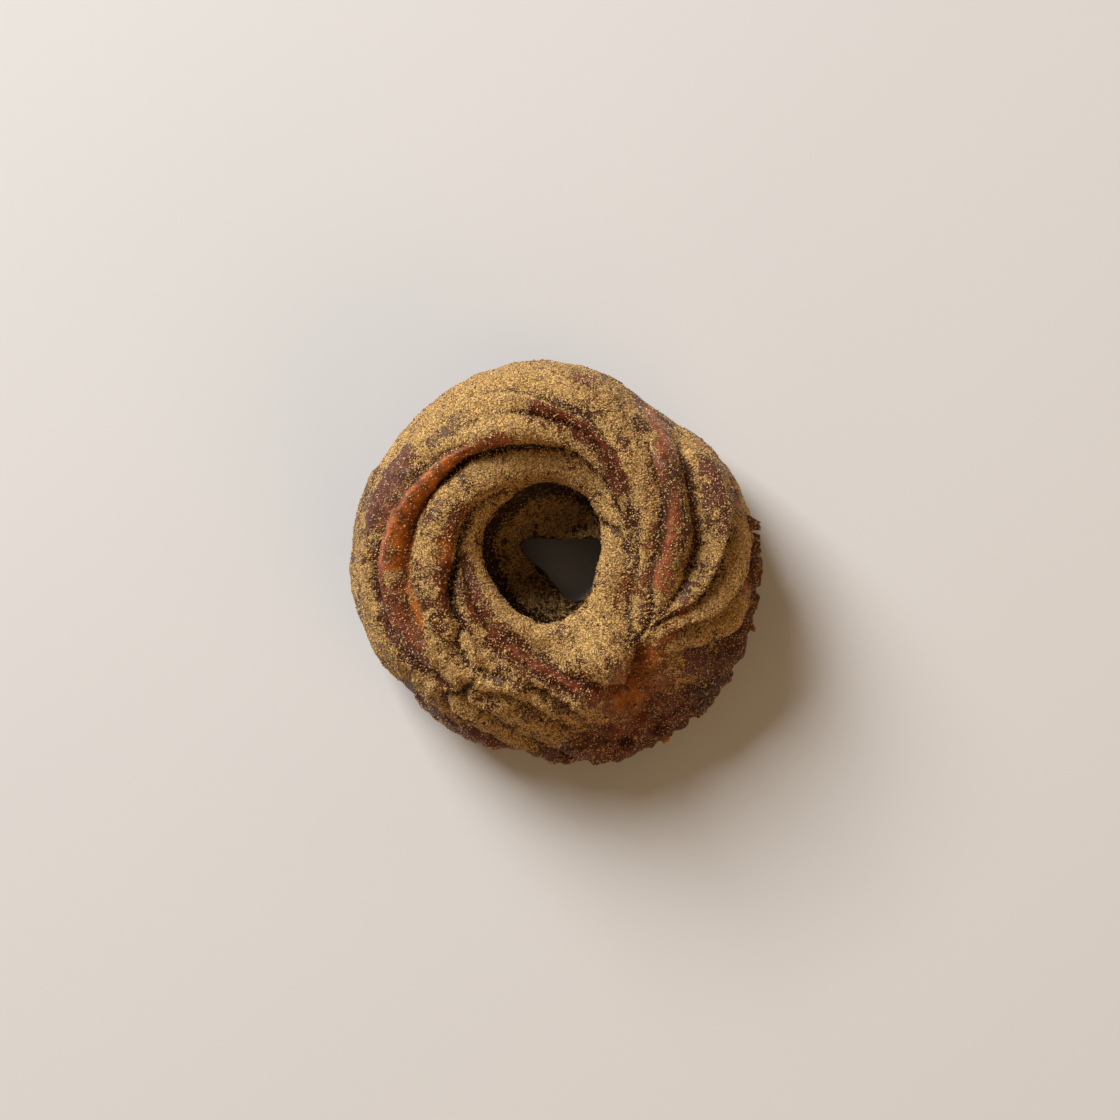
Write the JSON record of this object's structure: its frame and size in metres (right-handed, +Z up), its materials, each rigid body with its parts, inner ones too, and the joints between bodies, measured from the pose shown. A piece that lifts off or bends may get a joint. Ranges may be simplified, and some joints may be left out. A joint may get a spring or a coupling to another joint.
{
  "type": "cruller doughnut",
  "caption": "Ring of piped, fried dough with twisted ridges and a small off-centre hole, its glazed brown crust dusted with cinnamon sugar.",
  "frame": {"origin": "on the surface the doughnut rests on, under the middle of its outline seen from above", "axes": "+Z up out of the top, +X to the right and +Y to the back of the picture's view"},
  "size_m": [0.0854, 0.084, 0.0355],
  "materials": {
    "crust": "thin shiny glaze over brown fried crust, mostly hidden by fine tan powder",
    "powder": "loose grains of cinnamon sugar, dull with a few glints"
  },
  "bodies": {
    "root": {"cruller": "crust"}
  },
  "joints": []
}
